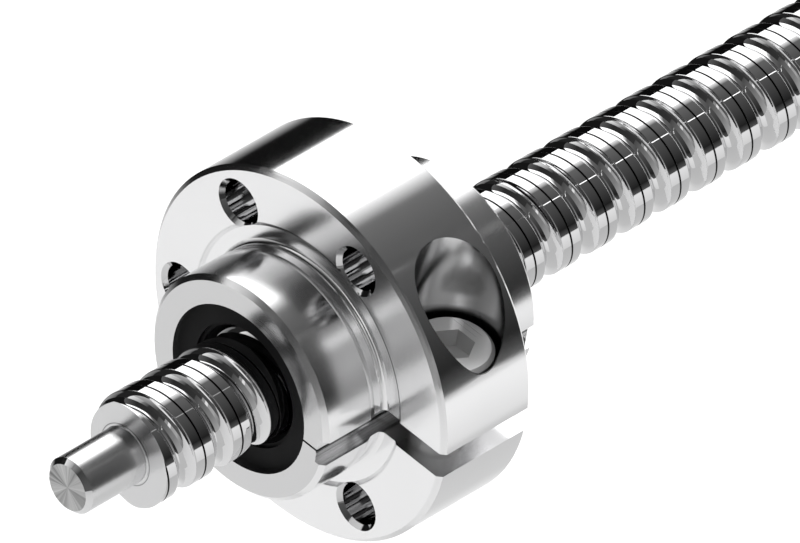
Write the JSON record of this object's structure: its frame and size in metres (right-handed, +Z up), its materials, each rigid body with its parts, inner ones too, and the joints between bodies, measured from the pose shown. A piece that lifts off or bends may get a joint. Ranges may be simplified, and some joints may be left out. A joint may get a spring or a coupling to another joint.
{
  "type": "ball screw nut",
  "caption": "Round flanged ball nut with a clamping slot and preload screw, running on its rolled screw, which feeds along as it turns.",
  "frame": {"origin": "on the screw's axis, in the flange's rear mounting face", "axes": "+Y along the screw from its journal to its plain end, +Z up"},
  "size_m": [0.04, 0.106, 0.04],
  "materials": {
    "nut_steel": "fine ground",
    "screw_steel": "polished, rolled",
    "ball_steel": "polished",
    "deflector_steel": "satin",
    "ring_steel": "satin",
    "fastener_steel": "satin",
    "wiper_plastic": "matt black"
  },
  "bodies": {
    "nut": {"nut_body": "nut_steel", "front_deflector": "deflector_steel", "rear_deflector": "deflector_steel", "front_balls": "ball_steel", "rear_balls": "ball_steel", "front_wiper": "wiper_plastic", "rear_wiper": "wiper_plastic", "rear_backing_ring": "ring_steel", "lube_port_plug": "fastener_steel"},
    "loose_ring": {"front_backing_ring": "ring_steel"},
    "screw": {"screw_shaft": "screw_steel"},
    "preload_screw": {"preload_screw": "fastener_steel"}
  },
  "joints": [
    {"name": "screw_turn", "type": "hinge", "parent": "nut", "child": "loose_ring", "pos_m": [0, 0, 0], "axis": [0, 1, 0], "range_deg": [-3600, 900]},
    {"name": "screw_feed", "type": "slide", "parent": "loose_ring", "child": "screw", "axis": [0, 1, 0], "range_m": [-0.05, 0.0125]},
    {"name": "preload_screw_turn", "type": "hinge", "parent": "nut", "child": "preload_screw", "pos_m": [0.01339, -0.0057, -0.00236], "axis": [0.1736, 0, 0.9848], "range_deg": [-30, 30]}
  ],
  "couplings": [
    {"joint": "screw_turn", "follows": "screw_feed", "rad_per_m": 1256.6}
  ]
}
